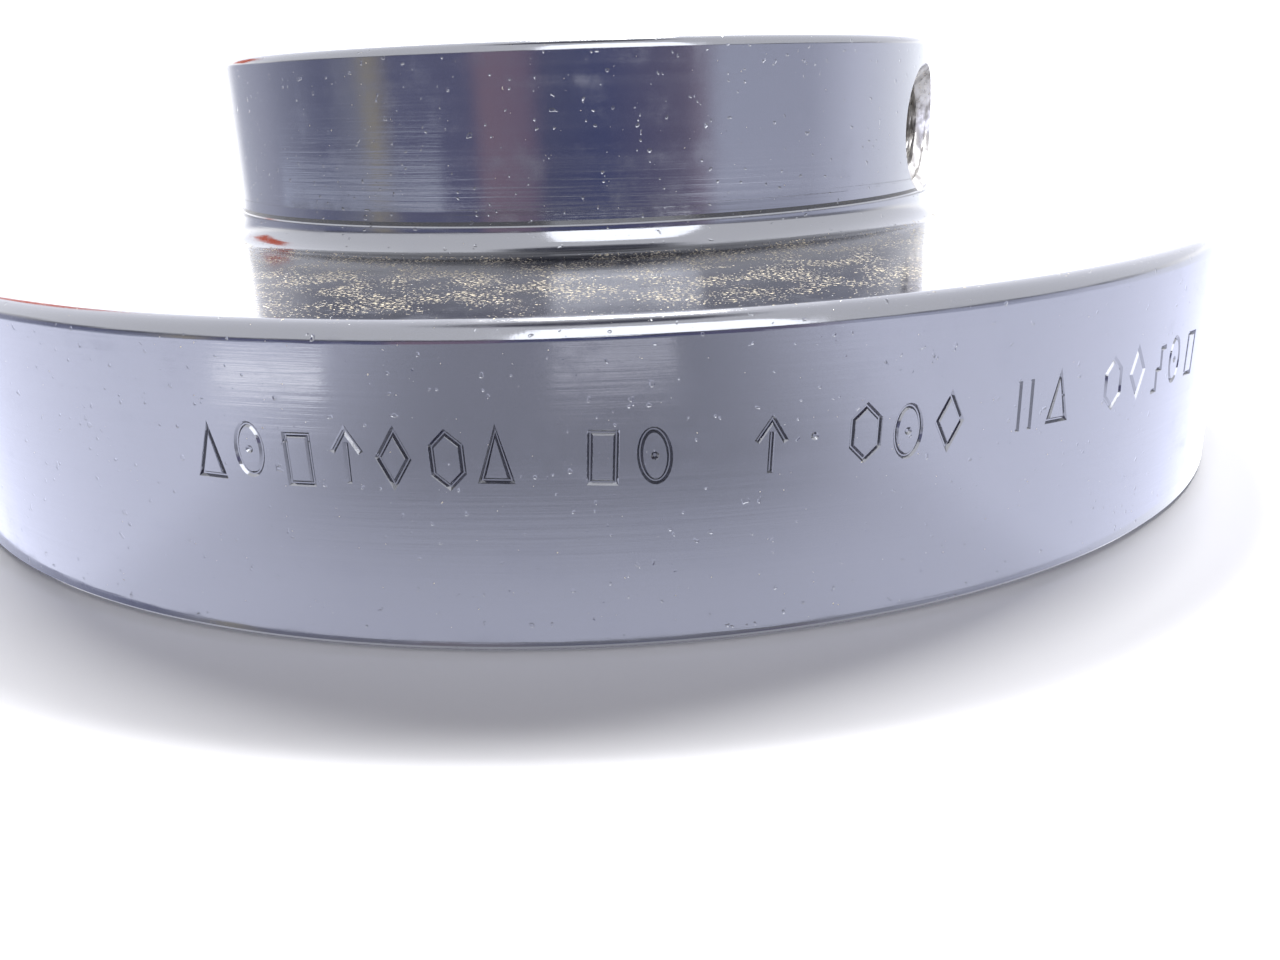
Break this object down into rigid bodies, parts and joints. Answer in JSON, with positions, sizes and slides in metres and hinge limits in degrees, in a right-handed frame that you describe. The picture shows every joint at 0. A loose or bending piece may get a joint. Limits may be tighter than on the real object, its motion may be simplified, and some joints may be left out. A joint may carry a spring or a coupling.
{
  "type": "coupling flange with a set-screw hub",
  "caption": "Heavy round iron coupling flange: a thick collar hub that clamps a shaft with two set screws, on a wide rim with a toothed pocket for a rubber sleeve.",
  "frame": {"origin": "on the bore's axis, in the plane of the rim's open front face, which it stands on", "axes": "+Z along the shaft, towards the hub's end; +X along the side set screw, outwards; +Y through the keyway and the set screw over it"},
  "size_m": [0.1612, 0.1612, 0.0476],
  "materials": {
    "flange_iron": "turned iron with a glossy black oxide finish, blue-black sheen, oiled",
    "screw_steel": "black oxide alloy steel, satin"
  },
  "bodies": {
    "flange": {"coupling_flange": "flange_iron"},
    "side_screw": {"side_set_screw": "screw_steel"},
    "key_screw": {"key_set_screw": "screw_steel"}
  },
  "joints": [
    {"name": "side_screw_travel", "type": "slide", "parent": "flange", "child": "side_screw", "axis": [1, 0, 0], "range_m": [-0.00195, 0.0254]},
    {"name": "key_screw_travel", "type": "slide", "parent": "flange", "child": "key_screw", "axis": [0, 1, 0], "range_m": [-0.00195, 0.02149]}
  ]
}
